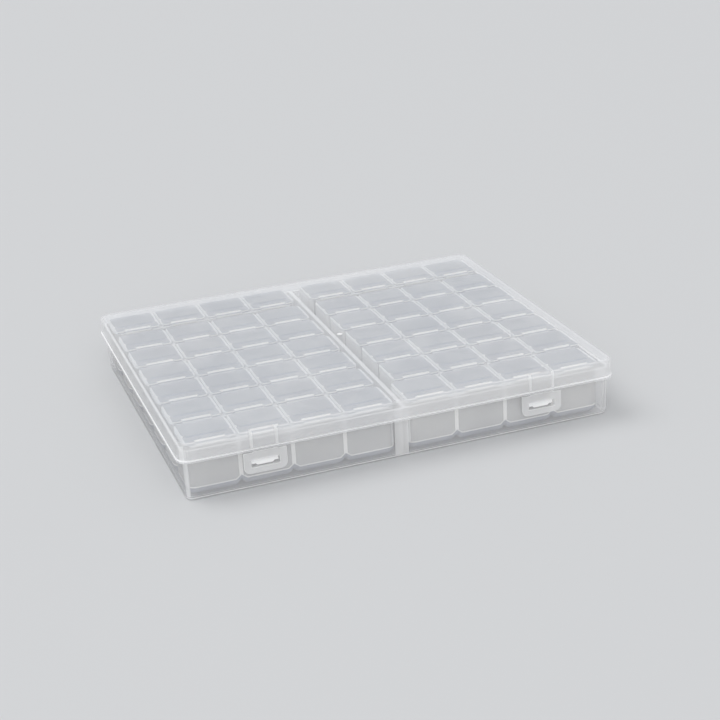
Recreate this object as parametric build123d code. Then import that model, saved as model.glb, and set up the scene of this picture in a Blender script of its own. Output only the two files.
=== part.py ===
from build123d import *
import math
import os

# Compartment storage box in frosted polypropylene: an outer tray with a hinged outer lid and two latch
# flaps, holding two columns of removable strips, each a row of cups with flip lids.
# Millimetres. X runs along the front, Y to the back, Z up. The origin is the centre of the footprint,
# on the table. Everything is shown closed, with the latches hanging free of their catches.

# Outer box
body_width = 210.0          # over the lid's lip, left to right
body_depth = 175.0          # over the lid's lip, front to back
body_height = 28.5          # table to the top of the lid
shell_wall = 1.2            # walls of the tray and the lid
tray_floor = 1.2
tray_corner_radius = 4.0    # corners of the tray at its rim, seen from above
tray_draft = 0.6            # how much narrower each side of the tray is at the table
tray_bottom_radius = 2.0    # rounding of the tray's lower edge
divider_thickness = 2.0     # wall from front to back between the two columns

# Outer lid
lid_rim_height = 19.0       # table to the lower edge of the lid's skirt
lid_top_radius = 1.5        # rounding of the lid's upper edge
lid_corner_radius = 6.0     # corners of the lip, seen from above
lip_height = 1.3            # band round the rim of the skirt
lip_proud = 0.5             # how far the band stands out
skirt_clearance = 0.35      # between the lid's skirt and the tray

# Latches
latch_from_end = 38.5       # centre of a latch to the end of the box
latch_width = 19.8
latch_height = 10.0         # flap, without the slit above it
latch_thickness = 1.2
latch_corner_radius = 3.0
latch_slit = 0.6            # gap under the lip beside the film
latch_film_width = 11.5
latch_film_thickness = 0.35
film_gap = 0.2              # between a film's end and what it is moulded to
window_width = 13.0
window_height = 3.3
window_bottom = 2.8         # lower edge of the flap to its window
catch_clearance = 0.4       # window to catch, all round
catch_tip_clearance = 0.2   # catch to the flap that hangs free
catch_lower_width = 7.0     # the catch narrows to this at its lower edge
catch_corner = 0.8          # height of its lower, narrower part

# Finger dips over the latches
dip_rib_spacing = 11.5      # between the centres of the two ribs
dip_rib_width = 1.2
dip_rib_proud = 0.4         # how far a rib stands out from the lid's wall
dip_back = 2.6              # how far the dip reaches back over the lid's top
dip_drop = 1.8              # how far it comes down the lid's front

# Rear hinges
hinge_from_end = 43.0       # centre of a hinge to the end of the box
hinge_length = 16.0         # over both ears
ear_thickness = 2.2
ear_wall = 1.0              # round the pin
ear_lid_gap = 0.3           # ears' arms to the lid's rim
hinge_side_gap = 0.3        # knuckle to ear
pin_radius = 1.1
pin_clearance = 0.1         # pin to knuckle, on the radius
knuckle_wall = 1.0
hinge_back = 2.3            # lip to the hinge axis
hinge_drop = 1.2            # hinge axis below the lid's rim
snap_opening = 80.0         # degrees of the knuckle left open to snap over the pin
snap_direction = -70.0      # degrees from the rear, downwards, to the middle of that opening

# Strips of cups
row_count = 7
cell_count = 4              # cups in one strip
strip_play = 3.95           # how much shorter a strip is than its column
row_play = 3.0              # how much shorter the rows together are than the tray
strip_gap = 0.3             # between strips, and from a strip to the divider and the tray's front
strip_side_gap = 0.7        # from a strip to the side wall of the tray, at the rim
rim_gap = 0.3               # tray's rim below the strips' flanges
headroom = 0.8              # flip lids to the underside of the outer lid
flange_thickness = 1.0
flange_ledge = 0.6          # how far the flange stands out in front of and behind the cups
nail_notch_width = 16.0     # gap in the flange's front edge, under the lid's tab
cell_corner_cut = 2.4       # rear corners of a cell and its lid, taken off at 45 degrees
cup_wall = 0.9              # half of the wall that two cups share
cup_floor = 1.0
cup_draft = 0.5             # how much narrower the front and the back of a cup are at its foot
cup_edge_cut = 3.0          # lower front and rear edges of a strip
cup_end_cut = 2.8           # lower edges of its two ends
cup_inner_cut = 2.4         # lower edges inside a cup
cup_upright_cut = 1.0       # upright edges at the four corners of a strip
foot_notch = 1.0            # height of the notch under the wall that two cups share

# Flip lids of the cups
cup_lid_gap = 0.1           # flange to lid
cup_lid_thickness = 1.1
cup_lid_side_gap = 0.5      # between neighbouring lids
cup_lid_front_inset = 1.3   # strip's front to the lid's plate
cup_film_width = 14.0
cup_film_length = 0.9
cup_film_thickness = 0.35
tab_width = 13.5
tab_thickness = 0.65
tab_inset = 0.1             # tab's front edge behind the strip's front
tab_length = 3.3            # strip's front to the step behind the tab
plug_depth = 1.2
plug_clearance = 0.3        # plug to the walls of the cup

# Construction
root_overlap = 0.2          # how far a form starts inside the one that carries it
cut_margin = 1.0            # how far a cut runs past the surface that it opens

# Places worked out from the sizes above
hinge_radius = pin_radius + pin_clearance + knuckle_wall
hinge_reach = hinge_back + hinge_radius
box_y = -hinge_reach / 2
front_y = box_y - body_depth / 2
back_y = box_y + body_depth / 2
hinge_y = back_y + hinge_back
hinge_z = lid_rim_height - hinge_drop
latch_xs = (latch_from_end - body_width / 2, body_width / 2 - latch_from_end)
hinge_xs = (hinge_from_end - body_width / 2, body_width / 2 - hinge_from_end)
latch_top = lid_rim_height - latch_slit
latch_bottom = latch_top - latch_height
lid_inset = lip_proud + shell_wall
tray_inset = lid_inset + skirt_clearance
tray_inner_width = body_width - 2 * (tray_inset + shell_wall)
tray_inner_depth = body_depth - 2 * (tray_inset + shell_wall)
lid_plate_z = body_height - shell_wall - headroom - cup_lid_thickness
strip_top = lid_plate_z - cup_lid_gap
tray_rim_height = strip_top - flange_thickness - rim_gap
strip_length = (tray_inner_width - divider_thickness) / 2 - strip_play
cell_pitch = strip_length / cell_count
row_pitch = (tray_inner_depth - strip_gap - row_play) / row_count
strip_depth = row_pitch - strip_gap
cup_height = strip_top - tray_floor


def box_between(low, high):
    """A box from its lowest to its highest corner."""
    size = [h - l for l, h in zip(low, high)]
    return Pos(*low) * Box(*size, align=(Align.MIN, Align.MIN, Align.MIN))


def rounded_block(width, depth, radius, bottom, top, draft=0.0):
    """An upright block on the box's centre, narrower at the bottom by the draft on each side."""
    angle = math.degrees(math.atan(draft / (top - bottom)))
    outline = Pos(0, box_y, top) * RectangleRounded(width, depth, radius)
    return extrude(outline, amount=top - bottom, dir=(0, 0, -1), taper=angle)


def across(profile, centre_x, width):
    """Extrudes a profile of (y, z) points along X, centred on one place."""
    face = make_face(Polyline([(0, y, z) for y, z in profile], close=True))
    return Pos(centre_x - width / 2, 0, 0) * extrude(face, amount=width, dir=(1, 0, 0))


def crosswise_cylinder(x, radius, length):
    """A cylinder round the hinge axis."""
    return Pos(x, hinge_y, hinge_z) * Rot(0, 90, 0) * Cylinder(radius, length)


def tray_inset_at(height):
    """How far the tray's outer face lies behind the lid's lip at one height."""
    return tray_inset + tray_draft * (tray_rim_height - height) / tray_rim_height


def outer_tray():
    """The tray: floor, walls, divider, catches and the fixed halves of the hinges."""
    tray = rounded_block(body_width - 2 * tray_inset, body_depth - 2 * tray_inset,
                         tray_corner_radius, 0, tray_rim_height, tray_draft)
    tray = fillet(tray.edges().group_by(Axis.Z)[0], tray_bottom_radius)
    inner_draft = tray_draft * (tray_rim_height - tray_floor) / tray_rim_height
    tray -= rounded_block(tray_inner_width, tray_inner_depth, tray_corner_radius - shell_wall,
                          tray_floor, tray_rim_height, inner_draft)
    half_depth = (tray_inner_depth + shell_wall) / 2 - tray_draft
    tray += box_between((-divider_thickness / 2, box_y - half_depth, tray_floor / 2),
                        (divider_thickness / 2, box_y + half_depth, tray_rim_height))
    for x in latch_xs:
        tray += catch(x)
    for x in hinge_xs:
        tray += hinge_ears(x)
    return tray


def catch(x):
    """A wedge on the tray's front wall that the latch's window snaps over."""
    bottom = latch_bottom + window_bottom + catch_clearance
    top = bottom + window_height - 2 * catch_clearance
    tip_y = front_y + latch_thickness + catch_tip_clearance
    wall_y = front_y + tray_inset_at(top)
    root_y = wall_y + shell_wall / 2
    half = window_width / 2 - catch_clearance
    low_half = catch_lower_width / 2
    step = bottom + catch_corner
    outline = make_face(Polyline([
        (x - half, tip_y, top), (x + half, tip_y, top), (x + half, tip_y, step),
        (x + low_half + catch_corner, tip_y, step), (x + low_half, tip_y, bottom),
        (x - low_half, tip_y, bottom), (x - low_half - catch_corner, tip_y, step),
        (x - half, tip_y, step)], close=True))
    block = extrude(outline, amount=root_y - tip_y, dir=(0, 1, 0))
    wedge = across([(tip_y, bottom), (tip_y, step), (wall_y, top), (root_y, top), (root_y, bottom)],
                   x, window_width)
    return block & wedge


def hinge_ears(x):
    """Two ears on the tray's rear wall with a moulded pin between them."""
    ear_radius = pin_radius + ear_wall
    root_y = back_y - tray_inset_at(hinge_z - ear_radius) - shell_wall / 2
    arm_top = lid_rim_height - ear_lid_gap
    arm = [(root_y, hinge_z - ear_radius), (hinge_y, hinge_z - ear_radius),
           (hinge_y, arm_top), (root_y, arm_top)]
    ears = crosswise_cylinder(x, pin_radius, hinge_length - ear_thickness)
    for side in (-1, 1):
        centre = x + side * (hinge_length - ear_thickness) / 2
        ears += across(arm, centre, ear_thickness)
        ears += crosswise_cylinder(centre, ear_radius, ear_thickness)
    return ears


def outer_lid():
    """The lid: top, skirt, lip, finger dips and the moving halves of the hinges."""
    lid = rounded_block(body_width - 2 * lip_proud, body_depth - 2 * lip_proud,
                        lid_corner_radius - lip_proud, lid_rim_height, body_height)
    lid = fillet(lid.edges().group_by(Axis.Z)[-1], lid_top_radius)
    lid += rounded_block(body_width, body_depth, lid_corner_radius,
                         lid_rim_height, lid_rim_height + lip_height)
    for x in latch_xs:
        lid += dip_ribs(x)
    lid -= rounded_block(body_width - 2 * lid_inset, body_depth - 2 * lid_inset,
                         lid_corner_radius - lid_inset, lid_rim_height, body_height - shell_wall)
    for x in latch_xs:
        lid += dip_backing(x)
        lid -= dip_cut(x)
    for x in hinge_xs:
        lid += hinge_knuckle(x)
    return lid


def dip_ribs(x):
    """Two upright ribs on the lid's front that frame the finger dip."""
    rib_y = front_y + lip_proud - dip_rib_proud
    foot_z = lid_rim_height + lip_height / 2
    edge_z = body_height - lid_top_radius + dip_rib_proud
    rear_y = rib_y + dip_back + dip_rib_proud
    top_z = body_height - dip_rib_proud / 2
    profile = [(front_y + lid_inset, foot_z), (rib_y, foot_z), (rib_y, edge_z),
               (rib_y + top_z - edge_z, top_z), (rear_y, top_z), (rear_y, body_height - shell_wall)]
    ribs = Part()
    for side in (-1, 1):
        ribs += across(profile, x + side * dip_rib_spacing / 2, dip_rib_width)
    return ribs


def dip_cut(x):
    """The slanted cut that takes the lid's upper front edge down between the ribs."""
    face_y = front_y + lip_proud
    profile = [(front_y - cut_margin, body_height - dip_drop), (face_y, body_height - dip_drop),
               (face_y + dip_back, body_height), (face_y + dip_back, body_height + cut_margin),
               (front_y - cut_margin, body_height + cut_margin)]
    return across(profile, x, dip_rib_spacing - dip_rib_width)


def dip_backing(x):
    """The slanted wall inside the lid that closes it behind the dip."""
    outer_y = front_y + lip_proud + shell_wall / 2
    inner_y = front_y + lid_inset
    ceiling = body_height - shell_wall
    outer_z = body_height - shell_wall / 2
    profile = [(outer_y, ceiling - dip_drop), (inner_y, ceiling - dip_drop),
               (inner_y + dip_back, ceiling), (inner_y + dip_back, outer_z), (outer_y, outer_z)]
    return across(profile, x, dip_rib_spacing + dip_rib_width)


def hinge_knuckle(x):
    """An open knuckle under the lid's rear lip that snaps over the tray's pin."""
    length = hinge_length - 2 * ear_thickness - 2 * hinge_side_gap
    knuckle = crosswise_cylinder(x, hinge_radius, length)
    knuckle += box_between((x - length / 2, back_y - lip_proud - root_overlap, lid_rim_height),
                           (x + length / 2, hinge_y, lid_rim_height + lip_height))
    knuckle -= crosswise_cylinder(x, pin_radius + pin_clearance, length + cut_margin)
    reach = 2 * hinge_radius
    mouth = [(hinge_y, hinge_z)]
    for side in (-1, 1):
        angle = math.radians(snap_direction + side * snap_opening / 2)
        mouth.append((hinge_y + reach * math.cos(angle), hinge_z + reach * math.sin(angle)))
    return knuckle - across(mouth, x, length + cut_margin)


def latch(x):
    """A latch flap with its window and the film that it hangs on."""
    flap = box_between((x - latch_width / 2, front_y, latch_bottom),
                       (x + latch_width / 2, front_y + latch_thickness, latch_top))
    flap = fillet(flap.edges().filter_by(Axis.Y).sort_by(Axis.Z)[:2], latch_corner_radius)
    low = latch_bottom + window_bottom
    flap -= box_between((x - window_width / 2, front_y - cut_margin, low),
                        (x + window_width / 2, front_y + latch_thickness + cut_margin,
                         low + window_height))
    flap += box_between((x - latch_film_width / 2, front_y, latch_top - root_overlap),
                        (x + latch_film_width / 2, front_y + latch_film_thickness,
                         lid_rim_height - film_gap))
    return flap


def cell_plate(width, depth, thickness):
    """A plate that covers a cell, from its front edge at y=0, with its rear corners taken off."""
    outline = Pos(0, depth / 2) * Rectangle(width, depth)
    return extrude(chamfer(outline.vertices().sort_by(Axis.Y)[2:], cell_corner_cut), thickness)


def cup_form(width, depth, height, end_cut, edge_cut):
    """An upright block from y=0 and z=0, drafted in front and behind, with its lower edges taken off."""
    half = width / 2
    front = make_face(Polyline([(end_cut - half, 0, 0), (half - end_cut, 0, 0), (half, 0, end_cut),
                                (half, 0, height), (-half, 0, height), (-half, 0, end_cut)],
                               close=True))
    near, far = cup_draft, depth - cup_draft
    side = [(near + edge_cut, 0), (far - edge_cut, 0), (far, edge_cut), (depth, height),
            (0, height), (near, edge_cut)]
    return extrude(front, amount=depth, dir=(0, 1, 0)) & across(side, 0, width)


def strip(centre_x, front):
    """One removable strip: cups side by side that share their walls, under a flange."""
    cup_depth = strip_depth - 2 * flange_ledge
    outline = Pos(0, cup_depth / 2) * Rectangle(strip_length, cup_depth)
    outline = extrude(chamfer(outline.vertices(), cup_upright_cut), cup_height)
    form = cup_form(strip_length, cup_depth, cup_height, cup_end_cut, cup_edge_cut)
    body = Pos(0, flange_ledge, 0) * (form & outline)
    pocket = Pos(0, flange_ledge + cup_wall, cup_floor) * cup_form(
        cell_pitch - 2 * cup_wall, cup_depth - 2 * cup_wall, cup_height - cup_floor,
        cup_inner_cut, cup_inner_cut)
    cell = cell_plate(cell_pitch, strip_depth, flange_thickness)
    cell -= box_between((-nail_notch_width / 2, -cut_margin, -cut_margin),
                        (nail_notch_width / 2, flange_ledge, flange_thickness + cut_margin))
    notch = make_face(Polyline([(-foot_notch, 0, 0), (foot_notch, 0, 0), (0, 0, foot_notch)],
                               close=True))
    notch = extrude(notch, amount=strip_depth, dir=(0, 1, 0))
    cells = [(index - (cell_count - 1) / 2) * cell_pitch for index in range(cell_count)]
    for x in cells:
        body += Pos(x, 0, cup_height - flange_thickness) * cell
    for x in cells:
        body -= Pos(x, 0, 0) * pocket
    for x in cells[1:]:
        body -= Pos(x - cell_pitch / 2, 0, 0) * notch
    return Pos(centre_x, front, tray_floor) * body


def cup_lid():
    """One flip lid, closed, with its thumb tab in front and its film behind."""
    plate_front = cup_lid_front_inset
    plate_back = strip_depth - cup_film_length
    lid = cell_plate(cell_pitch - cup_lid_side_gap, plate_back - plate_front, cup_lid_thickness)
    lid = Pos(0, plate_front, 0) * lid
    lid += box_between((-tab_width / 2, tab_inset, 0),
                       (tab_width / 2, plate_front + root_overlap, tab_thickness))
    lid -= box_between((-tab_width / 2, 0, tab_thickness),
                       (tab_width / 2, tab_length, cup_lid_thickness + cut_margin))
    lid += box_between((-cup_film_width / 2, plate_back - root_overlap, 0),
                       (cup_film_width / 2, strip_depth, cup_film_thickness))
    side = cell_pitch / 2 - cup_wall - plug_clearance
    inset = flange_ledge + cup_wall + plug_clearance
    lid += box_between((-side, inset, -plug_depth - cup_lid_gap), (side, strip_depth - inset, 0))
    return lid


def cup_lids(centre_x, front):
    """The flip lids of one strip, each a solid of its own."""
    lid = cup_lid().solid()
    places = [centre_x + (index - (cell_count - 1) / 2) * cell_pitch for index in range(cell_count)]
    return Compound([Pos(x, front, lid_plate_z) * lid for x in places])


def strip_places():
    """Side, row, centre and front edge of every strip. The strips lie loose in the tray."""
    outer_x = tray_inner_width / 2 - strip_side_gap - strip_length / 2
    inner_x = divider_thickness / 2 + strip_gap + strip_length / 2
    for row in range(row_count):
        front = box_y - tray_inner_depth / 2 + strip_gap + row * row_pitch
        # The rows stand forward, but for the rear one, which stands against the rear wall
        if row == row_count - 1:
            front += row_play
        yield "left", row + 1, -outer_x, front
        # The front strip on the right has slid to the divider
        yield "right", row + 1, (inner_x if row == 0 else outer_x), front


def save(shape, name):
    """Writes one piece to its own STEP file."""
    shape.label = name
    export_step(shape, f"parts/{name}.step")


os.makedirs("parts", exist_ok=True)
save(outer_tray(), "outer_tray")
save(outer_lid(), "outer_lid")
for side, x in zip(("left", "right"), latch_xs):
    save(latch(x), f"latch_{side}")
for side, row, x, front in strip_places():
    save(strip(x, front), f"strip_{side}_{row}")
    save(cup_lids(x, front), f"cup_lids_{side}_{row}")
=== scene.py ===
from math import pi, radians

import bmesh
import bpy
from mathutils import Matrix, Vector


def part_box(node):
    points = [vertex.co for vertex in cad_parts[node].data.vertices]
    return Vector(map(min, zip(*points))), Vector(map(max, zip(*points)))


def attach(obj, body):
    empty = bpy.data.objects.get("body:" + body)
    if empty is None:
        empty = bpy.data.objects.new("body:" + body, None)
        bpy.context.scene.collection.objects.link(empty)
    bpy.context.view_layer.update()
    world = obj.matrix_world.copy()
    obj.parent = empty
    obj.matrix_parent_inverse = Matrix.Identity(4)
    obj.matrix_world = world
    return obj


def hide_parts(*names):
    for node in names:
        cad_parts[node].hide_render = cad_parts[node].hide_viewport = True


# Frosted compartment box: outer tray and lid with two latches, over 14 strips of 4 lidded cups.
# The sizes of the pieces are in millimetres, angles in degrees and everything else in metres.
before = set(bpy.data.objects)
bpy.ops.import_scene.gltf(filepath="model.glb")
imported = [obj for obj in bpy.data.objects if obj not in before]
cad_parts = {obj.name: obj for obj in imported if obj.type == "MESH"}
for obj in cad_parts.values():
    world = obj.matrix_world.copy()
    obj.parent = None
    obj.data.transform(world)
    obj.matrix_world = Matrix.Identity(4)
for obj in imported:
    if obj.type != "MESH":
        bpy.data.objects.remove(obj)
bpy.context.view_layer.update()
mm = 0.001

# Camera
photoCamera = {
    "place": (-0.21574, -0.65937, 0.30263),
    "turn": -18.89,       # round the upright axis
    "tilt": 67.4,         # up from looking straight down
    "roll": -3.204,
    "lens": 75.2,
    "sensor": 36,
    "nearest": 0.02,      # anything nearer isn't drawn
}


def addCamera(s):
    data = bpy.data.cameras.new("photoCamera")
    data.sensor_width = s["sensor"]
    data.lens = s["lens"]
    data.clip_start = s["nearest"]
    camera = bpy.data.objects.new("photoCamera", data)
    camera.matrix_world = (Matrix.Translation(s["place"]) @ Matrix.Rotation(radians(s["turn"]), 4, "Z")
                           @ Matrix.Rotation(radians(s["tilt"]), 4, "X")
                           @ Matrix.Rotation(radians(s["roll"]), 4, "Z"))
    bpy.context.collection.objects.link(camera)
    bpy.context.scene.camera = camera


addCamera(photoCamera)
print("camera ready")


# Node groups
def newGroup(name, inputs, outputs):
    group = bpy.data.node_groups.new(name, "ShaderNodeTree")
    for label, kind, value in inputs:
        socket = group.interface.new_socket(name=label, in_out="INPUT", socket_type="NodeSocket" + kind)
        if value is not None:
            socket.default_value = value
    for label, kind in outputs:
        group.interface.new_socket(name=label, in_out="OUTPUT", socket_type="NodeSocket" + kind)
    return group, group.nodes.new("NodeGroupInput"), group.nodes.new("NodeGroupOutput")


def addNode(tree, kind, links=None, **settings):
    node = tree.nodes.new(kind)
    for key, value in settings.items():
        setattr(node, key, value)
    for socket, value in (links or {}).items():
        if isinstance(value, bpy.types.NodeSocket):
            tree.links.new(value, node.inputs[socket])
        else:
            node.inputs[socket].default_value = value
    return node


# Milky swirls that the melt leaves: the plastic is whiter where it is thicker or slower
def makeMilkyCloud():
    group, start, end = newGroup("milkyCloud", [
        ("Vector", "Vector", None), ("Clear", "Color", (0.7, 0.75, 0.8, 1)),
        ("Milky", "Color", (0.9, 0.9, 0.9, 1)), ("Size", "Float", 30.0)], [("Color", "Color")])
    noise = addNode(group, "ShaderNodeTexNoise", {
        "Vector": start.outputs["Vector"], "Scale": start.outputs["Size"], "Detail": 3.0,
        "Roughness": 0.55, "Distortion": 0.6})
    spread = addNode(group, "ShaderNodeMapRange", {
        "Value": noise.outputs["Fac"], "From Min": 0.33, "From Max": 0.67},
        interpolation_type="SMOOTHSTEP")
    mix = addNode(group, "ShaderNodeMix", {
        0: spread.outputs["Result"], 6: start.outputs["Clear"], 7: start.outputs["Milky"]},
        data_type="RGBA")
    group.links.new(mix.outputs[2], end.inputs["Color"])
    return group


# Fine matt texture of the mould, on a slow ripple
def makeFrostGrain():
    rippleHeight = 8.0    # times the grain's
    group, start, end = newGroup("frostGrain", [
        ("Vector", "Vector", None), ("Size", "Float", 2600.0)], [("Height", "Float")])
    grain = addNode(group, "ShaderNodeTexNoise", {
        "Vector": start.outputs["Vector"], "Scale": start.outputs["Size"], "Detail": 2.0,
        "Roughness": 0.6})
    ripple = addNode(group, "ShaderNodeTexNoise", {
        "Vector": start.outputs["Vector"], "Scale": 55.0, "Detail": 1.0})
    both = addNode(group, "ShaderNodeMath", {
        0: ripple.outputs["Fac"], 1: rippleHeight, 2: grain.outputs["Fac"]}, operation="MULTIPLY_ADD")
    group.links.new(both.outputs[0], end.inputs["Height"])
    return group


# Hairline scratches from sliding on a table, in two directions
def makeHairScratches():
    directions = ((0.35, (60, 5200, 900)), (-1.1, (45, 6400, 900)))   # turn, and scale along each axis
    group, start, end = newGroup("hairScratches", [
        ("Vector", "Vector", None), ("Density", "Float", 0.5)], [("Mask", "Float")])
    masks = []
    for turn, stretch in directions:
        place = addNode(group, "ShaderNodeMapping", {
            "Vector": start.outputs["Vector"], "Rotation": (0, 0, turn), "Scale": stretch})
        lines = addNode(group, "ShaderNodeTexNoise", {
            "Vector": place.outputs["Vector"], "Scale": 1.0, "Detail": 1.0})
        masks.append(addNode(group, "ShaderNodeMapRange", {
            "Value": lines.outputs["Fac"], "From Min": 0.72, "From Max": 0.8}))
    both = addNode(group, "ShaderNodeMath", {
        0: masks[0].outputs["Result"], 1: masks[1].outputs["Result"]}, operation="MAXIMUM")
    patches = addNode(group, "ShaderNodeTexNoise", {"Vector": start.outputs["Vector"], "Scale": 28.0})
    where = addNode(group, "ShaderNodeMapRange", {
        "Value": patches.outputs["Fac"], "From Min": 0.4, "From Max": 0.65})
    some = addNode(group, "ShaderNodeMath", {
        0: both.outputs[0], 1: where.outputs["Result"]}, operation="MULTIPLY")
    out = addNode(group, "ShaderNodeMath", {
        0: some.outputs[0], 1: start.outputs["Density"]}, operation="MULTIPLY")
    group.links.new(out.outputs[0], end.inputs["Mask"])
    return group


# Faint rings where the melt stopped and went on round the gate
def makeFlowMarks():
    group, start, end = newGroup("flowMarks", [
        ("Vector", "Vector", None), ("Size", "Float", 14.0)], [("Mask", "Float")])
    rings = addNode(group, "ShaderNodeTexWave", {
        "Vector": start.outputs["Vector"], "Scale": start.outputs["Size"], "Distortion": 2.5,
        "Detail": 2.0, "Detail Scale": 1.5}, wave_type="RINGS", rings_direction="SPHERICAL")
    group.links.new(rings.outputs["Fac"], end.inputs["Mask"])
    return group


groups = {"cloud": makeMilkyCloud(), "grain": makeFrostGrain(), "scratches": makeHairScratches(),
          "flow": makeFlowMarks()}
print("node groups ready")

# Materials: four families, and what each finish has of its own
wideWall = {"cloudSize": 16, "roughness": 0.42, "subsurface": 0.0,
            "grain": 0.05, "scratches": 0.4, "flow": 0.015}
thickPlace = {"cloudSize": 40, "roughness": 0.4, "subsurface": 0.0,
              "grain": 0.05, "scratches": 0.3, "flow": 0.02}
cupPlastic = {"cloudSize": 40, "roughness": 0.42, "subsurface": 0.2,
              "grain": 0.04, "scratches": 0.1, "flow": 0.02}
flipPlastic = {"cloudSize": 50, "roughness": 0.42, "subsurface": 0.2,
               "grain": 0.04, "scratches": 0.2, "flow": 0.02}
finishes = {
    "outerFrosted": {**wideWall, "clear": (0.90, 0.905, 0.92), "milky": (0.95, 0.95, 0.955),
                     "alpha": 0.20, "scratches": 0.5},
    "lidFrosted": {**wideWall, "clear": (0.90, 0.915, 0.94), "milky": (0.95, 0.955, 0.97),
                   "alpha": 0.25, "cloudSize": 12, "grain": 0.04, "scratches": 0.6},
    "skirtFrosted": {**wideWall, "clear": (0.92, 0.925, 0.94), "milky": (0.96, 0.96, 0.965),
                     "alpha": 0.31},
    "shoulderFrosted": {**wideWall, "clear": (0.92, 0.93, 0.945), "milky": (0.96, 0.96, 0.965),
                        "alpha": 0.28, "roughness": 0.6},
    # Painted highlight on the shells' rounded edges and upright corners
    "frostedLitEdge": {**thickPlace, "clear": (0.93, 0.935, 0.94), "milky": (0.97, 0.97, 0.97),
                    "alpha": 0.48, "grain": 0.04, "scratches": 0.2},
    "frostedThick": {**thickPlace, "clear": (0.92, 0.925, 0.93), "milky": (0.96, 0.96, 0.96),
                     "alpha": 0.50},
    # Painted glow on the floor's edge, the lip, the catches and the divider; also the whiter gate mark
    "frostedGlowAndGate": {**thickPlace, "clear": (0.94, 0.945, 0.95), "milky": (0.97, 0.97, 0.97),
                   "alpha": 0.85, "grain": 0.04, "scratches": 0.2},
    "latchFrosted": {**thickPlace, "clear": (0.92, 0.92, 0.925), "milky": (0.96, 0.96, 0.96),
                     "alpha": 0.30},
    # Strips: walls and foot painted darker as shade, edges, rims and ends painted lighter as highlight
    "cupShadedWall": {**cupPlastic, "clear": (0.62, 0.62, 0.615), "milky": (0.72, 0.715, 0.705),
                "alpha": 0.55, "subsurface": 0.25},
    "cupLitEdge": {**cupPlastic, "clear": (0.86, 0.855, 0.84), "milky": (0.92, 0.91, 0.89),
                "alpha": 0.9, "subsurface": 0.25},
    "cupLitRim": {**cupPlastic, "clear": (0.86, 0.87, 0.88), "milky": (0.92, 0.925, 0.93), "alpha": 0.8},
    "cupFootShade": {**cupPlastic, "clear": (0.34, 0.36, 0.43), "milky": (0.42, 0.44, 0.50), "alpha": 0.7},
    "cupLitEnd": {**cupPlastic, "clear": (0.92, 0.92, 0.925), "milky": (0.96, 0.96, 0.96),
               "alpha": 0.8, "subsurface": 0.25},
    # Flip lids: plate and groove painted darker as shade, margins and tab painted lighter as highlight
    "flipShadedPlate": {**flipPlastic, "clear": (0.52, 0.55, 0.60), "milky": (0.68, 0.705, 0.735),
                  "alpha": 0.5},
    "flipLitMargin": {**flipPlastic, "clear": (0.86, 0.875, 0.895), "milky": (0.92, 0.93, 0.94),
                   "alpha": 0.7},
    "flipGrooveShade": {**flipPlastic, "clear": (0.30, 0.34, 0.43), "milky": (0.38, 0.43, 0.52),
                 "alpha": 0.6, "scratches": 0.1},
    "flipTabHighlight": {**flipPlastic, "clear": (0.95, 0.935, 0.91), "milky": (0.98, 0.965, 0.94),
                "alpha": 0.9, "roughness": 0.38, "grain": 0.03, "scratches": 0.1},
}
polypropylene = {
    "ior": 1.49,
    "scatterRadius": (1.0, 0.9, 0.85),
    "scatterScale": 0.0015,
    "scratchRoughness": 0.1,   # how much rougher a scratch is
    "scratchHeight": -0.3,     # beside a grain's height of 1
    "bumpDistance": 0.00005,
}


def makePlastic(name, s, base):
    material = bpy.data.materials.new(name)
    material.use_nodes = True
    tree = material.node_tree
    shader = tree.nodes["Principled BSDF"]
    place = addNode(tree, "ShaderNodeTexCoord").outputs["Object"]

    def group(key, **links):
        node = addNode(tree, "ShaderNodeGroup", node_tree=groups[key])
        tree.links.new(place, node.inputs["Vector"])
        for socket, value in links.items():
            node.inputs[socket].default_value = value
        return node.outputs[0]

    def timesPlus(value, factor, rest):
        return addNode(tree, "ShaderNodeMath", {0: value, 1: factor, 2: rest},
                       operation="MULTIPLY_ADD").outputs[0]

    color = group("cloud", Clear=(*s["clear"], 1), Milky=(*s["milky"], 1), Size=s["cloudSize"])
    scratches = group("scratches", Density=s["scratches"])
    smooth = timesPlus(group("flow"), s["flow"], s["roughness"])
    rough = timesPlus(scratches, base["scratchRoughness"], smooth)
    height = timesPlus(scratches, base["scratchHeight"], group("grain"))
    bump = addNode(tree, "ShaderNodeBump", {"Height": height, "Strength": s["grain"],
                                            "Distance": base["bumpDistance"]})
    tree.links.new(color, shader.inputs["Base Color"])
    tree.links.new(rough, shader.inputs["Roughness"])
    tree.links.new(bump.outputs["Normal"], shader.inputs["Normal"])
    shader.inputs["IOR"].default_value = base["ior"]
    shader.inputs["Alpha"].default_value = s["alpha"]
    shader.inputs["Subsurface Weight"].default_value = s["subsurface"]
    shader.inputs["Subsurface Radius"].default_value = base["scatterRadius"]
    shader.inputs["Subsurface Scale"].default_value = base["scatterScale"]
    return material


materials = {name: makePlastic(name, s, polypropylene) for name, s in finishes.items()}
print("materials ready:", ", ".join(materials))

# Mesh tools shared by the pieces
touching = 1e-6       # points this near are the same
near = 1e-5
onPlane = 1e-7        # a cut leaves points this near its plane alone
crispAngle = 38       # edges sharper than this stay crisp
# Shares of a face's normal on an axis: how squarely the face looks along it
squarely = 0.99
mostly = 0.9
partly = 0.5
slightly = 0.3
axes = {"x": (1, 0, 0), "y": (0, 1, 0), "z": (0, 0, 1)}


def middle(f):
    return f.calc_center_median()


def lowest(f):
    return min(v.co.z for v in f.verts)


def highest(f):
    return max(v.co.z for v in f.verts)


# Each edge and point of some faces once, in the same order each run
def edgesOf(faces):
    return list(dict.fromkeys(e for f in faces for e in f.edges))


def vertsOf(faces):
    return list(dict.fromkeys(v for f in faces for v in f.verts))


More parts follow.
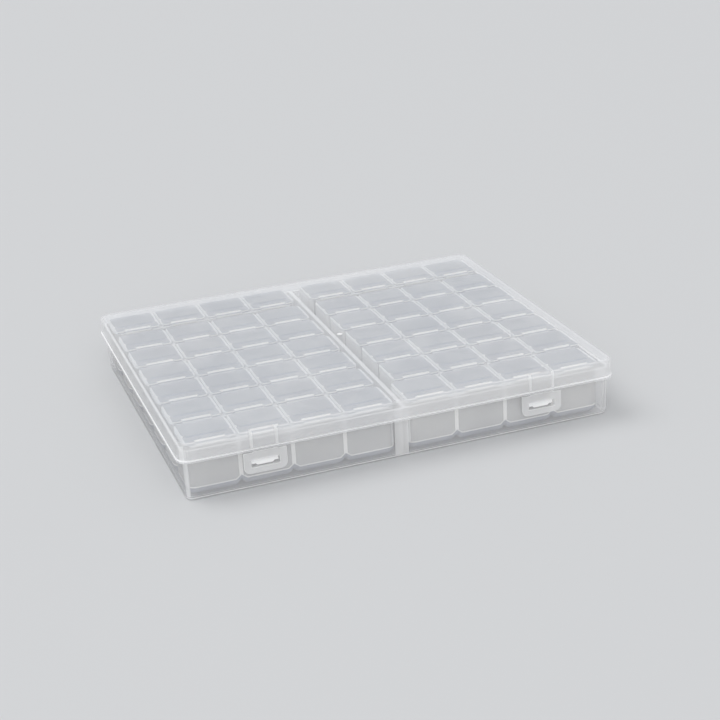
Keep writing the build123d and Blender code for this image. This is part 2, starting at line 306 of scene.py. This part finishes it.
def cut(bm, faces, axis, place):
    faces = list(faces)
    normal = Vector(axes[axis])
    bmesh.ops.bisect_plane(bm, geom=vertsOf(faces) + edgesOf(faces) + faces, dist=onPlane,
                           plane_co=normal * place, plane_no=normal)


def roundEdges(bm, edges, size, segments):
    made = bmesh.ops.bevel(bm, geom=list(edges), offset=size, offset_type="OFFSET", segments=segments,
                           profile=0.5, affect="EDGES", material=-1, clamp_overlap=True)
    return made["faces"]


def pushOut(bm, faces, shift):
    faces = list(faces)
    made = bmesh.ops.extrude_face_region(bm, geom=faces + edgesOf(faces) + vertsOf(faces))["geom"]
    bmesh.ops.translate(bm, verts=[g for g in made if isinstance(g, bmesh.types.BMVert)], vec=shift)
    bm.normal_update()
    return [g for g in made if isinstance(g, bmesh.types.BMFace)]


def openEdges(bm):
    return sum(1 for e in bm.edges if not e.is_manifold)


# Numbers for a piece's places, such as its edge or its rim, which have a material each
def numbered(places):
    return {place: number for number, place in enumerate(places)}


# Points and faces in the order of their places, and each face begun at its first point, because the
# operators leave them in another order each run
samePlace = 7     # decimals of a metre to which two points are told apart


def putInOrder(elements, place):
    for number, element in enumerate(sorted(elements, key=place)):
        element.index = number
    elements.sort()


def orderPiece(bm):
    putInOrder(bm.verts, lambda v: [round(value, samePlace) for value in v.co])
    for f in list(bm.faces):
        corners, number = list(f.verts), f.material_index
        first = corners.index(min(corners, key=lambda v: v.index))
        if first:
            bm.faces.remove(f)
            bm.faces.new(corners[first:] + corners[:first]).material_index = number
    putInOrder(bm.faces, lambda f: sorted(v.index for v in f.verts))


def finishPiece(name, bm, places, body, replaced):
    orderPiece(bm)
    mesh = bpy.data.meshes.new(name)
    bm.to_mesh(mesh)
    bm.free()
    for key in places.values():
        mesh.materials.append(materials[key])
    mesh.shade_smooth()
    mesh.set_sharp_from_angle(angle=radians(crispAngle))
    piece = bpy.data.objects.new(name, mesh)
    bpy.context.collection.objects.link(piece)
    weighted = piece.modifiers.new("flatFaces", "WEIGHTED_NORMAL")   # wide faces stay flat to their edges
    weighted.keep_sharp = True
    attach(piece, body)
    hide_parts(replaced)
    return piece


# Outer tray, outer lid and latches: the moulded shapes with their edges softened
latchX = 66.5     # box's middle to a latch's
ribX = 5.75       # latch's middle to the ribs of the dip above it
whiter = {        # boxes of whiter plastic, thicker at the ribs, ears and knuckles and a painted highlight at the catch and the divider: half the length, and y and z at the low and the high corner
    "rib": (0.7, (-89.8, 20.2), (-85.5, 28.6)),
    "catch": (6.6, (-89.0, 11.0), (-87.75, 15.0)),
    "divider": (1.05, (-86, 2.0), (82, 24.1)),
    "ears": (80, (85.2, 14), (91, 20)),
    "knuckles": (80, (85.2, 14), (91, 20.4)),
}


def boxAt(x, key):
    half, low, high = whiter[key]
    return (x - half, *low), (x + half, *high)


# The latch's rounded edges and upright corners take the thicker finish as a painted highlight
latch = {"edge": 0.2, "places": {"plain": "latchFrosted", "edge": "frostedThick"}}
shells = {
    "outer_tray": {
        "name": "outerTray", "body": "tray", "edge": 0.25,
        "footBand": (0.2, 1.35),             # heights of the painted glow round the floor
        "dividerSide": 1.6,                  # the divider's faces are nearer the middle than this
        "litStripes": [(-5.5, -1.0, "edge"), (-1.0, 1.0, "thick")],   # front wall, where the divider joins it: partly thicker plastic, partly painted light over the shaded gap behind
        "thick": [boxAt(0, "ears")],
        # painted highlight on the catches and the divider
        "paintedBright": [boxAt(side * latchX, "catch") for side in (-1, 1)] + [boxAt(0, "divider")],
        "edgeBands": [(23.0, 25.0, "plain")],   # heights where rounded edges don't get the painted highlight
        "places": {"plain": "outerFrosted", "edge": "frostedLitEdge", "thick": "frostedThick",
                   "rim": "frostedGlowAndGate"}},
    "outer_lid": {
        "name": "outerLid", "body": "lid", "edge": 0.25,
        "lipHighlight": (19.9, 20.8),             # heights of the lip's upper edge, which has a painted highlight
        "skirtTop": 26.6,
        "skirtLean": 0.6,                    # the skirt's faces look up or down less than this
        "shoulderLean": (0.15, 0.95),
        "thick": [boxAt(side * latchX + rib * ribX, "rib") for side in (-1, 1) for rib in (-1, 1)]
        + [boxAt(0, "knuckles")],
        "edgeBands": [(18.0, 19.9, "skirt"), (19.9, 20.8, "rim"), (26.5, 29.0, "shoulder")],
        "places": {"plain": "lidFrosted", "edge": "frostedLitEdge", "thick": "frostedThick",
                   "skirt": "skirtFrosted", "rim": "frostedGlowAndGate", "shoulder": "shoulderFrosted"}},
    "latch_left": {**latch, "name": "latchLeft", "body": "latch_left"},
    "latch_right": {**latch, "name": "latchRight", "body": "latch_right"},
}
softening = {"flatter": 0.4, "sharper": 40, "segments": 2}   # flatter edges go, sharper ones are rounded
gateMark = {
    "square": 1.7,        # half the side of the field that is cut out for it
    "ledge": 0.2,
    "radius": 1.4,
    "cuts": 3,            # points on each side of the field, to make it round
    "depth": 0.3,
    "bottom": 0.85,       # share of its width that is left at the bottom
    "pip": 0.5,           # radius of the broken gate, which narrows to a share of it
    "pipTip": 0.7,
    "pipLow": 0.05,       # lid's top down to the pip's
    "pipRoot": 0.2,
    "pipSides": 12,
}


def inside(point, boxes):
    return any(all(low[i] * mm <= point[i] <= high[i] * mm for i in range(3)) for low, high in boxes)


# Where the melt came in: a shallow round dimple with the broken gate in it
def pressGateMark(bm, s, number):
    top = max(v.co.z for v in bm.verts)
    half = s["square"] * mm

    def onTop(f):
        return f.normal.z > squarely and middle(f).z > top - touching

    for axis in ("x", "y"):
        for place in (-half, half):
            cut(bm, [f for f in bm.faces if onTop(f) and (axis == "x" or abs(middle(f).x) < half)],
                axis, place)
            bm.normal_update()
    field = [f for f in bm.faces if onTop(f) and Vector(middle(f)[:2]).length < half / 2]
    bmesh.ops.inset_individual(bm, faces=field, thickness=s["ledge"] * mm, use_even_offset=True)
    bmesh.ops.subdivide_edges(bm, edges=field[0].edges[:], cuts=s["cuts"])
    for v in field[0].verts:
        v.co.x, v.co.y = Vector(v.co[:2]).normalized() * s["radius"] * mm
    sunk = pushOut(bm, field, (0, 0, -s["depth"] * mm))
    sunkVerts = vertsOf(sunk)
    bmesh.ops.scale(bm, vec=(s["bottom"], s["bottom"], 1), verts=sunkVerts)
    height = (s["depth"] - s["pipLow"] + s["pipRoot"]) * mm
    centre = Matrix.Translation((0, 0, top - s["pipLow"] * mm - height / 2))
    pip = bmesh.ops.create_cone(bm, cap_ends=True, segments=s["pipSides"], radius1=s["pip"] * mm,
                                radius2=s["pip"] * s["pipTip"] * mm, depth=height, matrix=centre)["verts"]
    for f in {f for v in pip + sunkVerts for f in v.link_faces}:
        f.material_index = number


# The skirt, the upper edge of the lip round it with a painted highlight, and the shoulder above
def markSkirt(bm, s, use):
    low, high = (value * mm for value in s["lipHighlight"])
    shoulderLow, shoulderHigh = s["shoulderLean"]
    bm.normal_update()
    cut(bm, [f for f in bm.faces if abs(f.normal.z) < s["skirtLean"]], "z", low)
    for f in bm.faces:
        z = middle(f).z
        # painted highlight on the lip's upper edge
        if low < z < high and (f.normal.z > s["skirtLean"] or highest(f) < high):
            f.material_index = use["rim"]
        elif not f.material_index and abs(f.normal.z) < s["skirtLean"] and z < s["skirtTop"] * mm:
            f.material_index = use["skirt"]
        elif shoulderLow < f.normal.z < shoulderHigh and z > s["skirtTop"] * mm:
            f.material_index = use["shoulder"]


# Painted glow along the floor's edge, and painted light on the divider and on the wall in front of it
def markFoot(bm, s, use):
    low, high = (value * mm for value in s["footBand"])
    for level in (low, high):
        bm.normal_update()
        cut(bm, [f for f in bm.faces if abs(f.normal.z) < mostly], "z", level)
    for f in bm.faces:
        if f.normal.z < slightly and low < middle(f).z < high:
            f.material_index = use["rim"]
        if abs(f.normal.x) > mostly and abs(middle(f).x) < s["dividerSide"] * mm:
            f.material_index = use["thick"]
    for left, right, place in s["litStripes"]:
        left, right = left * mm, right * mm
        for x in (left, right):
            bm.normal_update()
            cut(bm, [f for f in bm.faces if f.normal.y < -mostly], "x", x)
        for f in bm.faces:
            if f.normal.y < -mostly and not f.material_index and all(
                    left - touching < v.co.x < right + touching for v in f.verts):
                f.material_index = use[place]


def softenedShell(node, s):
    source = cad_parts[node]
    use = numbered(s["places"])
    bm = bmesh.new()
    bm.from_mesh(source.data)
    bmesh.ops.transform(bm, matrix=source.matrix_world, verts=bm.verts)
    bmesh.ops.remove_doubles(bm, verts=bm.verts, dist=touching)
    bmesh.ops.dissolve_limit(bm, angle_limit=radians(softening["flatter"]), verts=bm.verts,
                             edges=bm.edges)
    sharp = [e for e in bm.edges if e.is_manifold and e.calc_face_angle() > radians(softening["sharper"])]
    rounded = roundEdges(bm, sharp, s["edge"] * mm, softening["segments"])
    bm.normal_update()
    for f in bm.faces:                             # painted highlight on the upright corners
        if abs(f.normal.z) < slightly and min(abs(f.normal.x), abs(f.normal.y)) > partly:
            f.material_index = use["edge"]
    if node == "outer_lid":
        markSkirt(bm, s, use)
    if node == "outer_tray":
        markFoot(bm, s, use)
    # whiter where the plastic is thicker, and a painted highlight at the catches and the divider
    for f in bm.faces:
        if inside(middle(f), s.get("thick", [])):
            f.material_index = use["thick"]
        elif inside(middle(f), s.get("paintedBright", [])):
            f.material_index = use["rim"]
    for f in rounded:                              # painted highlight on the rounded edges
        if not f.material_index:
            z = middle(f).z
            f.material_index = use[next((place for low, high, place in s.get("edgeBands", [])
                                         if low * mm < z < high * mm), "edge")]
    if node == "outer_lid":
        pressGateMark(bm, gateMark, use["rim"])
    print(s["name"], len(bm.faces), "faces,", openEdges(bm), "open edges")
    finishPiece(s["name"], bm, s["places"], s["body"], node)


for node, s in shells.items():
    softenedShell(node, s)
print("outer tray, lid and latches ready")

# Strips of cups
stripShape = {
    "cells": 4,
    "wall": 0.9,
    "floor": 1.0,
    "ledge": 0.6,              # rim in front of and behind the cups
    "rimThickness": 1.0,
    "endRound": (4.2, 5),      # radius and segments of the upright corners
    "footRound": (3.8, 4),
    "footLine": 0.5,           # painted highlight line above the foot's rounding
    "rearNotch": (2.3, 2.4),   # half width and depth of the V between two cups, behind
    "footArch": (2.6, 2.0),    # half width and rise of the foot under a shared wall
    "frontShare": 0.4,         # share of the depth in front of the V's cuts
    "pocketFoot": (2.4, 3),    # lower edge inside a cup
    "merge": 0.4,              # corner points of a mouth nearer than this become one
    "straight": 0.03,          # radians from straight, for a point along a mouth's side
    "nailGap": 16.0,           # gap in the rim under a lid's tab
    "cornerReach": 3.2,        # how far a rounded corner may reach back from a rim's wall
    "litEndReach": 1.5,            # painted light on the strip's end beside the divider
    "frontHighlightReach": 4.0,          # how far back a shared wall seen end on gets a painted highlight
    # painted shade on the walls and the foot, painted light on the edges, rims and ends
    "places": {"wall": "cupShadedWall", "edge": "cupLitEdge", "rim": "cupLitRim", "foot": "cupFootShade", "end": "cupLitEnd"},
}


# Radius in metres, and segments
def rounding(pair):
    return pair[0] * mm, pair[1]


def stripBlock(length, front, back, height, s):
    bm = bmesh.new()
    bmesh.ops.create_cube(bm, size=1, matrix=Matrix.Translation((0, (front + back) / 2, height / 2))
                          @ Matrix.Diagonal((length, back - front, height, 1)))
    upright = [e for e in bm.edges if abs(e.verts[0].co.z - e.verts[1].co.z) > height / 2]
    roundEdges(bm, upright, *rounding(s["endRound"]))
    low = [e for e in bm.edges if max(v.co.z for v in e.verts) < touching]
    roundEdges(bm, low, *rounding(s["footRound"]))
    return bm


# Feet with a painted shade on their rounding and a painted highlight line above, an arch under each shared
# wall and a V behind it
def shapeFeet(bm, depth, shared, s, use):
    footRound = s["footRound"][0] * mm
    footTop = (s["footRound"][0] + s["footLine"]) * mm
    cut(bm, [f for f in bm.faces if abs(f.normal.z) < partly], "z", footTop)
    # painted highlight on the line above the foot, painted shade on the foot's rounding
    for f in bm.faces:
        if middle(f).z < footTop:
            f.material_index = use["edge"] if middle(f).z > footRound else use["foot"]
    frontPart = depth * s["frontShare"]
    notchHalf, notchDepth = (value * mm for value in s["rearNotch"])
    archHalf, archRise = (value * mm for value in s["footArch"])
    for x in shared:
        cut(bm, bm.faces, "x", x)
        for shift in (-notchHalf, notchHalf):
            cut(bm, [f for f in bm.faces if middle(f).y > frontPart], "x", x + shift)
        for shift in (-archHalf, -s["wall"] * mm, s["wall"] * mm, archHalf):
            cut(bm, [f for f in bm.faces if middle(f).y < frontPart or middle(f).z < footTop],
                "x", x + shift)
        for v in bm.verts:
            away = abs(v.co.x - x)
            if v.co.y > depth / 2:
                v.co.y -= notchDepth * max(0.0, 1 - away / notchHalf)
            if v.co.z < footTop + touching:
                v.co.z += archRise * max(0.0, 1 - away / archHalf)


def hollowCups(bm, height, centres, pitch, s):
    for x in centres:
        tops = [f for f in bm.faces if f.normal.z > mostly and middle(f).z > height - near
                and abs(middle(f).x - x) < pitch / 2]
        top = bmesh.ops.dissolve_faces(bm, faces=tops)["region"][0]
        bmesh.ops.inset_individual(bm, faces=[top], thickness=s["wall"] * mm, use_even_offset=True)
        bmesh.ops.remove_doubles(bm, verts=top.verts, dist=s["merge"] * mm)
        top = max((f for f in bm.faces if lowest(f) > height - touching
                   and abs(middle(f).x - x) < pitch / 3), key=lambda f: f.calc_area())
        mouth = set(top.edges)                     # points along a straight side aren't needed inside
        spokes = [e for loop in top.loops if abs(loop.calc_angle() - pi) < s["straight"]
                  for e in loop.vert.link_edges if e not in mouth]
        bmesh.ops.dissolve_edges(bm, edges=spokes, use_verts=True)
        bottom = bmesh.ops.extrude_discrete_faces(bm, faces=[top])["faces"][0]
        bmesh.ops.translate(bm, verts=bottom.verts, vec=(0, 0, s["floor"] * mm - height))
        roundEdges(bm, bottom.edges[:], *rounding(s["pocketFoot"]))


# Rim in front and behind, with a gap for the nail in front of each cup
def drawRim(bm, height, walls, centres, s):
    rimLow = height - s["rimThickness"] * mm
    halfGap = s["nailGap"] * mm / 2

    def outwards(y, side):
        return [f for f in bm.faces if f.normal.y * side > slightly and highest(f) > height - near
                and max((v.co.y - y) * side for v in f.verts) > -near]

    bm.normal_update()
    for y, side in walls:
        wall = [f for f in outwards(y, side) if middle(f).z > rimLow / 2
                and min((v.co.y - y) * side for v in f.verts) > -s["cornerReach"] * mm]
        cut(bm, wall, "z", rimLow)
        bm.normal_update()
        rim = [f for f in outwards(y, side) if lowest(f) > rimLow - touching]
        if side < 0:
            for gapSide in [x + edge * halfGap for x in centres for edge in (-1, 1)]:
                cut(bm, rim, "x", gapSide)
                rim = [f for f in outwards(y, side) if lowest(f) > rimLow - touching]
            rim = [f for f in rim if all(abs(middle(f).x - x) > halfGap for x in centres)]
        pushOut(bm, rim, (0, side * s["ledge"] * mm, 0))
    bmesh.ops.remove_doubles(bm, verts=bm.verts, dist=touching)
    bm.normal_update()


def buildStrip(size, s, inward):
    length, depth, height = size
    front, back = s["ledge"] * mm, depth - s["ledge"] * mm
    pitch = length / s["cells"]
    centres = [(i - (s["cells"] - 1) / 2) * pitch for i in range(s["cells"])]
    shared = [x + pitch / 2 for x in centres[:-1]]
    use = numbered(s["places"])
    bm = stripBlock(length, front, back, height, s)
    shapeFeet(bm, depth, shared, s, use)
    hollowCups(bm, height, centres, pitch, s)
    drawRim(bm, height, ((front, -1), (back, 1)), centres, s)
    wall = s["wall"] * mm
    for f in bm.faces:                             # painted light, whiter than the shaded walls: rims, ends, shared walls end on
        centre = middle(f)
        beside = min(abs(centre.x - x) for x in shared)
        if centre.z > height - s["rimThickness"] * mm - near:
            f.material_index = use["rim"]
        elif f.material_index:
            continue
        elif f.normal.x * inward > slightly and centre.x * inward > length / 2 - s["litEndReach"] * mm:
            f.material_index = use["end"]
        elif centre.y < front + s["frontHighlightReach"] * mm and beside < wall:
            f.material_index = use["edge"]
        elif abs(f.normal.x) > mostly and beside < 2 * wall:
            f.material_index = use["end"]
    return bm


rows = range(1, 8)
for side in ("left", "right"):
    for row in rows:
        node = f"strip_{side}_{row}"
        low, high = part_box(node)
        bm = buildStrip(high - low, stripShape, 1 if side == "left" else -1)
        if row == 1 and side == "left":
            print("strip:", len(bm.faces), "faces,", openEdges(bm), "open edges")
        bmesh.ops.translate(bm, verts=bm.verts, vec=((low.x + high.x) / 2, low.y, low.z))
        finishPiece(f"cupStrip_{side}_{row}", bm, stripShape["places"], "tray", node)
print("strips ready")

# Flip lids
flipLid = {
    "cells": 4,
    "width": 23.95,
    "frontInset": 1.3,        # strip's front to the plate
    "filmLength": 0.9,
    "filmThickness": 0.35,
    "cornerRadius": 3.5,      # behind
    "frontRadius": 2.5,
    "cornerSegments": 6,
    "thickness": 1.1,
    "tabWidth": 13.5,
    "tabLength": 3.3,         # strip's front to the step behind the tab
    "tabThickness": 0.65,
    "tabInset": 0.1,
    "tabLip": (0.5, 0.35),    # back and drop of the tab's turned-down front
    "plugDepth": 1.3,
    "plateGap": 0.12,         # cell's side to the plate
    "plugSide": 1.2,          # cell's side to the plug
    "plugFront": 1.8,
    "plugCorner": (1.6, 3),   # radius and segments
    "groove": (7.0, 8.8, 18.4, 0.15),  # front, back, width and depth of the sunk band, painted dark as shade
    "litMargin": 1.1,            # painted light along the sides
    "highlightStep": 1.1,        # how far in front of the step the tab has a painted highlight
    "edge": (0.15, 2),
    "edgeAngle": 50,          # edges sharper than this are rounded
    # painted shade on the plate and the groove, painted highlight on the tab and the margins
    "places": {"plate": "flipShadedPlate", "shadedGroove": "flipGrooveShade", "tab": "flipTabHighlight", "litMargin": "flipLitMargin"},
}
flipPip = {"beside": 10.9, "back": 8.4, "radius": 0.55, "tip": 0.7, "height": 0.4, "root": 0.2, "sides": 10}


# The plate with round corners, and the thinner tab in front of it
def plateWithTab(depth, front, back, halfWidth, halfTab, tabBack, s):
    tabTop, plateTop = s["tabThickness"] * mm, s["thickness"] * mm
    bm = bmesh.new()
    bmesh.ops.create_grid(bm, x_segments=1, y_segments=1, size=0.5,
                          matrix=Matrix.Translation((0, (front + back) / 2, 0))
                          @ Matrix.Diagonal((halfWidth * 2, back - front, 1, 1)))
    for side, radius in ((1, s["cornerRadius"]), (-1, s["frontRadius"])):
        corners = [v for v in bm.verts if (v.co.y - depth / 2) * side > depth / 4
                   and abs(abs(v.co.x) - halfWidth) < touching and (side > 0 or v.co.y < front + touching)]
        bmesh.ops.bevel(bm, geom=corners, offset=radius * mm, segments=s["cornerSegments"], profile=0.5,
                        affect="VERTICES", material=-1)
    for x in (-halfTab, halfTab):
        cut(bm, bm.faces, "x", x)
    for y in (tabBack, tabBack - s["highlightStep"] * mm):
        cut(bm, bm.faces, "y", y)
    edge = [e for e in bm.edges if all(abs(v.co.y - front) < touching and abs(v.co.x) < halfTab + touching
                                       for v in e.verts)]
    drawn = bmesh.ops.extrude_edge_only(bm, edges=edge)["geom"]
    bmesh.ops.translate(bm, verts=[g for g in drawn if isinstance(g, bmesh.types.BMVert)],
                        vec=(0, s["tabInset"] * mm - front, 0))
    bmesh.ops.recalc_face_normals(bm, faces=bm.faces)
    if bm.faces[0].normal.z < 0:
        bmesh.ops.reverse_faces(bm, faces=bm.faces)
    pushOut(bm, bm.faces, (0, 0, tabTop))
    bmesh.ops.recalc_face_normals(bm, faces=bm.faces)
    pushOut(bm, [f for f in bm.faces if f.normal.z > mostly
                 and not (abs(middle(f).x) < halfTab and middle(f).y < tabBack)],
            (0, 0, plateTop - tabTop))
    return bm


# The plug, and the tab's turned-down front, hang from the underside
def hangPlug(bm, depth, halfWidth, halfTab, lipBack, lipDrop, s):
    plugX = halfWidth + s["plateGap"] * mm - s["plugSide"] * mm
    plugFront, plugBack = s["plugFront"] * mm, depth - s["plugFront"] * mm
    for axis, place in (("x", -plugX), ("x", plugX), ("y", plugFront), ("y", plugBack), ("y", lipBack)):
        cut(bm, [f for f in bm.faces if f.normal.z < -mostly], axis, place)
        bm.normal_update()
    under = [(f, middle(f)) for f in bm.faces if f.normal.z < -mostly]
    lip = [f for f, c in under if abs(c.x) < halfTab and c.y < lipBack]
    plug = [f for f, c in under if abs(c.x) < plugX and plugFront < c.y < plugBack]
    pushOut(bm, lip, (0, 0, -lipDrop))
    pushOut(bm, plug, (0, 0, -s["plugDepth"] * mm))
    corners = [e for e in bm.edges
               if abs(e.verts[0].co.z - e.verts[1].co.z) > s["plugDepth"] * mm / 2
               and all(abs(abs(v.co.x) - plugX) < touching for v in e.verts)
               and min(v.co.z for v in e.verts) < 0]
    roundEdges(bm, corners, *rounding(s["plugCorner"]))


# The film runs back from the plate's lower edge, as wide as the tab
def drawFilm(bm, back, halfTab, s):
    thickness = s["filmThickness"] * mm

    def rear():
        return [f for f in bm.faces if f.normal.y > mostly and abs(middle(f).y - back) < touching]

    cut(bm, rear(), "z", thickness)
    bm.normal_update()
    pushOut(bm, [f for f in rear() if middle(f).z < thickness and abs(middle(f).x) < halfTab],
            (0, s["filmLength"] * mm, 0))


# A shallow band across the plate, painted dark as shade, between the cuts for the margins of painted light
def sinkGroove(bm, litMarginX, s, number):
    front, back, width, depth = (value * mm for value in s["groove"])
    plateTop = s["thickness"] * mm
    for axis, place in (("x", -litMarginX), ("x", litMarginX), ("x", -width / 2), ("x", width / 2),
                        ("y", front), ("y", back)):
        cut(bm, [f for f in bm.faces if f.normal.z > mostly and middle(f).z > plateTop - touching],
            axis, place)
        bm.normal_update()
    band = [f for f in bm.faces if f.normal.z > mostly and abs(middle(f).x) < width / 2
            and front < middle(f).y < back]
    for f in pushOut(bm, band, (0, 0, -depth)):
        f.material_index = number


def addPips(bm, plateTop, s, number):
    height, root = s["height"] * mm, s["root"] * mm
    for x in (-s["beside"] * mm, s["beside"] * mm):
        centre = Matrix.Translation((x, s["back"] * mm, plateTop + (height - root) / 2))
        pip = bmesh.ops.create_cone(bm, cap_ends=True, segments=s["sides"], radius1=s["radius"] * mm,
                                    radius2=s["radius"] * mm * s["tip"], depth=height + root,
                                    matrix=centre)["verts"]
        for f in {f for v in pip for f in v.link_faces}:
            f.material_index = number


def buildFlipLid(depth, s):
    front, back = s["frontInset"] * mm, depth - s["filmLength"] * mm
    halfWidth, halfTab, tabBack = s["width"] * mm / 2, s["tabWidth"] * mm / 2, s["tabLength"] * mm
    lipBack, lipDrop = (value * mm for value in s["tabLip"])
    litMarginX = halfWidth - s["litMargin"] * mm
    use = numbered(s["places"])
    bm = plateWithTab(depth, front, back, halfWidth, halfTab, tabBack, s)
    hangPlug(bm, depth, halfWidth, halfTab, lipBack, lipDrop, s)
    drawFilm(bm, back, halfTab, s)
    sinkGroove(bm, litMarginX, s, use["shadedGroove"])
    for f in bm.faces:
        c = middle(f)
        forwards, upOrOut = f.normal.y < -mostly, f.normal.z > -partly
        if abs(c.x) > litMarginX and upOrOut:
            f.material_index = use["litMargin"]       # painted light beside the next lid
        if forwards and c.z > s["tabThickness"] * mm and c.y < tabBack + near:
            f.material_index = use["tab"]          # painted highlight on the step behind the tab
        paintedBright = forwards or c.y > tabBack - s["highlightStep"] * mm
        onTab = abs(c.x) < halfTab + touching and c.y < tabBack - near
        if onTab and paintedBright and (upOrOut or c.y < lipBack):
            f.material_index = use["tab"]          # painted highlight on the tab, at the step and in front
    sharp = [e for e in bm.edges if e.is_manifold and e.calc_face_angle() > radians(s["edgeAngle"])
             and min(v.co.z for v in e.verts) > s["filmThickness"] * mm + touching]
    roundEdges(bm, sharp, *rounding(s["edge"]))
    # painted highlight on the pips
    addPips(bm, s["thickness"] * mm, flipPip, use["tab"])
    return bm


for side in ("left", "right"):
    for row in rows:
        node = f"cup_lids_{side}_{row}"
        low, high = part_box(node)
        stripLow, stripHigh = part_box(f"strip_{side}_{row}")
        pitch = (stripHigh.x - stripLow.x) / flipLid["cells"]
        one = buildFlipLid(stripHigh.y - stripLow.y, flipLid)
        if row == 1 and side == "left":
            print("flip lid:", len(one.faces), "faces,", openEdges(one), "open edges")
        single = bpy.data.meshes.new("single")
        one.to_mesh(single)
        one.free()
        bm = bmesh.new()
        for cell in range(flipLid["cells"]):
            already = set(bm.verts)
            bm.from_mesh(single)
            x = stripLow.x + (cell + 0.5) * pitch
            bmesh.ops.translate(bm, verts=[v for v in bm.verts if v not in already],
                                vec=(x, stripLow.y, low.z + flipLid["plugDepth"] * mm))
        finishPiece(f"flipLids_{side}_{row}", bm, flipLid["places"], node, node)
        bpy.data.meshes.remove(single)
print("flip lids ready")

# Floor and light
studio = {
    "floor": (0.60, 0.605, 0.61),
    "floorRoughness": 0.6,
    "floorHalf": 4,            # half its side
    "floorDrop": 0.0001,       # below the box's underside
    "sky": (0.96, 0.975, 1.0),
    "skyStrength": 0.62,
}
suns = {
    "key": {"direction": (0.5, -0.35, -1.0), "strength": 1.0, "softness": 40},
    "front": {"direction": (0.25, 0.9, -0.6), "strength": 1.2, "softness": 60},
}


def addFloor(s):
    bm = bmesh.new()
    bmesh.ops.create_grid(bm, x_segments=1, y_segments=1, size=s["floorHalf"])
    mesh = bpy.data.meshes.new("floor")
    bm.to_mesh(mesh)
    bm.free()
    floor = bpy.data.objects.new("floor", mesh)
    bpy.context.collection.objects.link(floor)
    floor.location.z = -s["floorDrop"]
    material = bpy.data.materials.new("paleFloor")
    material.use_nodes = True
    shader = material.node_tree.nodes["Principled BSDF"]
    shader.inputs["Base Color"].default_value = (*s["floor"], 1)
    shader.inputs["Roughness"].default_value = s["floorRoughness"]
    mesh.materials.append(material)


def addSky(s):
    world = bpy.data.worlds.new("studio")
    world.use_nodes = True
    bpy.context.scene.world = world
    background = world.node_tree.nodes["Background"]
    background.inputs["Color"].default_value = (*s["sky"], 1)
    background.inputs["Strength"].default_value = s["skyStrength"]


def addSun(name, s):
    data = bpy.data.lights.new(name, "SUN")
    data.energy = s["strength"]
    data.angle = radians(s["softness"])
    light = bpy.data.objects.new(name, data)
    light.rotation_euler = Vector(s["direction"]).to_track_quat("-Z", "Y").to_euler()
    bpy.context.collection.objects.link(light)


addSky(studio)
addFloor(studio)
for name, s in suns.items():
    addSun(name, s)
bpy.context.scene.view_settings.view_transform = "Standard"
print("floor and light ready")

print("done")
